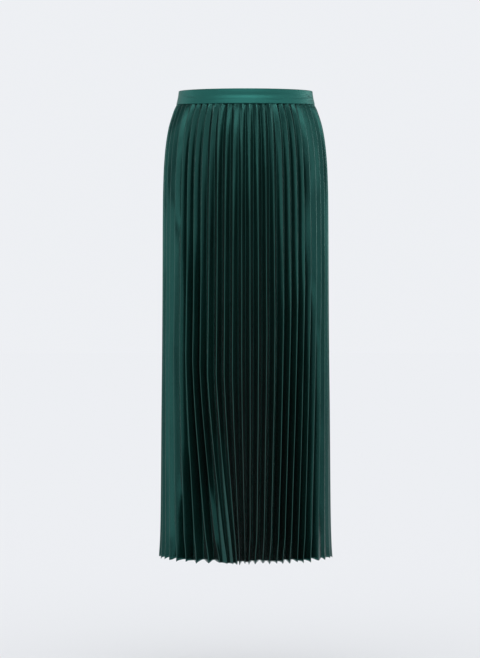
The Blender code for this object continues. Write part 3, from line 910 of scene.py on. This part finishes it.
def rod(name, radius, length, vertices):
    """A round bar along X through the pull's pin."""
    bpy.ops.object.select_all(action="DESELECT")
    bpy.ops.mesh.primitive_cylinder_add(vertices=vertices, radius=radius, depth=length,
                                        rotation=(0.0, math.pi / 2, 0.0))
    made = bpy.context.object
    made.name = name
    bpy.ops.object.transform_apply(location=False, rotation=True, scale=False)
    return made


def on_faces(piece, chosen, *steps):
    """Takes steps in edit mode on the faces that are chosen."""
    bpy.context.view_layer.objects.active = piece
    bpy.ops.object.mode_set(mode="EDIT")
    bpy.ops.mesh.select_mode(type="FACE")
    bpy.ops.mesh.select_all(action="DESELECT")
    bpy.ops.object.mode_set(mode="OBJECT")
    for face in piece.data.polygons:
        face.select = chosen(face)
    bpy.ops.object.mode_set(mode="EDIT")
    for step in steps:
        step()
    bpy.ops.object.mode_set(mode="OBJECT")


def soften(piece, width):
    """Rounds a hard piece's edges, as tumbling does."""
    edge = piece.modifiers.new("edge", "BEVEL")
    edge.width, edge.segments, edge.limit_method = width, 2, "ANGLE"
    edge.angle_limit = math.radians(30)
    apply_modifiers(piece)


def joined(pieces, name, finish):
    """One hard piece from several, taken from the pin's own axes to the skirt's."""
    bpy.ops.object.select_all(action="DESELECT")
    for piece in pieces:
        piece.select_set(True)
    bpy.context.view_layer.objects.active = pieces[0]
    bpy.ops.object.join()
    whole = bpy.context.object
    whole.name = name
    bpy.ops.object.shade_smooth_by_angle(angle=math.radians(40))
    lean = math.atan2(SECTIONS[0].back - WAIST.back, SECTIONS[0].drop)
    whole.data.transform(Matrix.Translation(PIN) @ Matrix.Rotation(lean, 4, "X"))
    whole.data.materials.clear()
    whole.data.materials.append(finish)
    whole.select_set(False)
    return whole


def slider_body(finish):
    """The zip's slider: a crowned plate with two ears that hold the pull's pin."""
    plate = boxed("slider_plate", SLIDER_PLATE, (0.0, SLIDER_OUT, 0.0))
    on_faces(plate, lambda face: face.normal.y > 0.9,
             lambda: bpy.ops.mesh.inset(thickness=SLIDER_CROWN_EDGE),
             lambda: bpy.ops.transform.translate(value=(0.0, SLIDER_CROWN, 0.0)))
    on_faces(plate, lambda face: face.normal.z < -0.9,
             lambda: bpy.ops.transform.resize(value=(SLIDER_NARROWS, 1.0, 1.0)))
    soften(plate, 0.0003)
    ears = []
    for side in (-1, 1):
        ear = boxed("slider_ear", EAR, (side * EAR_ASIDE, EAR_OUT, 0.0))
        tip = {"value": (0.0, EAR_TIP, 0.0)}
        on_faces(ear, lambda face: face.normal.y > 0.9,
                 lambda: bpy.ops.mesh.extrude_region_move(TRANSFORM_OT_translate=tip),
                 lambda: bpy.ops.transform.resize(value=(0.8, 1.0, 0.5)))
        soften(ear, 0.00025)
        ears.append(ear)
    pin = rod("slider_pin", PIN_RADIUS, PIN_LENGTH, 20)
    on_faces(pin, lambda face: abs(face.normal.x) > 0.9,
             lambda: bpy.ops.mesh.inset(thickness=0.00015))
    return joined([plate] + ears + [pin], "slider_body", finish)


def pull_tab(finish):
    """The zip's pull: an eye on the pin, a short neck and a tab with a shallow thumb recess."""
    eye = rod("pull_eye", EYE_RADIUS, EYE_WIDTH, 28)
    on_faces(eye, lambda face: abs(face.normal.x) > 0.9,
             lambda: bpy.ops.mesh.inset(thickness=EYE_WALL, use_individual=True),
             lambda: bpy.ops.mesh.bridge_edge_loops())
    soften(eye, 0.00015)
    tab = boxed("pull_neck", NECK, (0.0, 0.0, NECK_DOWN))
    for down, widen in TAB_STEPS:
        move = {"value": (0.0, 0.0, -down)}
        on_faces(tab, lambda face: face.normal.z < -0.9,
                 lambda: bpy.ops.mesh.extrude_region_move(TRANSFORM_OT_translate=move),
                 lambda: bpy.ops.transform.resize(value=(widen, 1.0, 1.0)))
    on_faces(tab, lambda face: face.normal.y > 0.9 and RECESS_LOW < face.center.z < RECESS_HIGH,
             lambda: bpy.ops.mesh.inset(thickness=RECESS_EDGE, depth=-RECESS_DEPTH))
    soften(tab, 0.00022)
    return joined([tab, eye], "pull_tab", finish)


def finish_zip():
    settle(slider_body(enamel()), "skirt", "zip_enamel", "zip_slider")
    settle(pull_tab(enamel()), "pull", "zip_enamel", "zip_pull")
    coil = zip_coil(nylon())
    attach(coil, "skirt")
    settle(zip_tape_cloth(tape_cloth()), "skirt", "zip_tape_cloth", "zip_tape")


# ---------------------------------------------------------------- the studio

def make_floor():
    bpy.ops.mesh.primitive_circle_add(vertices=96, radius=FLOOR_RADIUS, fill_type="NGON",
                                      location=(0.0, 0.0, -FLOOR_DROP))
    floor = bpy.context.object
    floor.name = "studio_floor"
    finish = Finish("pale_floor", Roughness=0.9, Specular_IOR_Level=0.0)
    floor.data.materials.append(finish.feed(Base_Color=FLOOR_COLOUR))


def make_world():
    """Pale to the eye and on the floor, dim where the satin mirrors it."""
    world = bpy.data.worlds.new("studio")
    world.use_nodes = True
    tree = world.node_tree
    ground = tree.nodes["Background"]
    ground.inputs["Color"].default_value = WORLD_COLOUR
    lit = add_node(tree, "LightPath", output="Is Diffuse Ray")
    mirrored = add_node(tree, "LightPath", output="Is Glossy Ray")
    strength = WORLD_SEEN + (WORLD_LIT - WORLD_SEEN) * lit - (WORLD_SEEN - WORLD_MIRRORED) * mirrored
    join(tree, ground.inputs["Strength"], strength)
    bpy.context.scene.world = world


def softbox(name, place, aim, width, height, power):
    """A soft area light that only the satin's gloss sees."""
    bpy.ops.object.light_add(type="AREA", location=place)
    box = bpy.context.object
    box.name = name
    box.data.shape = "RECTANGLE"
    box.data.size, box.data.size_y = width, height
    box.data.energy = power
    box.rotation_mode = "QUATERNION"
    box.rotation_quaternion = (Vector(aim) - Vector(place)).to_track_quat("-Z", "Y")
    box.visible_camera = False
    box.visible_diffuse = False
    return box


def make_lights():
    """Upright soft panels in a ring round the skirt, each facing its axis, and one overhead."""
    for panel in PANELS:
        angle, middle = math.radians(panel.angle), (panel.low + panel.high) / 2
        place = (RING * math.sin(angle), -RING * math.cos(angle), middle)
        softbox(panel.name, place, (0.0, 0.0, middle), panel.width, panel.high - panel.low,
                panel.watts)
    softbox("overhead_box", OVERHEAD_PLACE, OVERHEAD_AIM, OVERHEAD_WIDTH, OVERHEAD_HEIGHT,
            OVERHEAD_WATTS)


def make_camera():
    data = bpy.data.cameras.new("eye")
    data.sensor_fit = "AUTO"
    data.sensor_width = SENSOR_MM
    data.lens = FOCAL_PIXELS / PICTURE_HEIGHT_PIXELS * SENSOR_MM
    data.clip_end = 200.0
    eye = bpy.data.objects.new("eye", data)
    eye.location = EYE
    eye.rotation_euler = (math.pi / 2, 0.0, 0.0)
    bpy.context.collection.objects.link(eye)
    bpy.context.scene.camera = eye


bpy.ops.object.select_all(action="DESELECT")
make_panels()
make_waistband()
finish_zip()
make_floor()
make_world()
make_lights()
make_camera()
bpy.context.scene.view_settings.view_transform = "Standard"
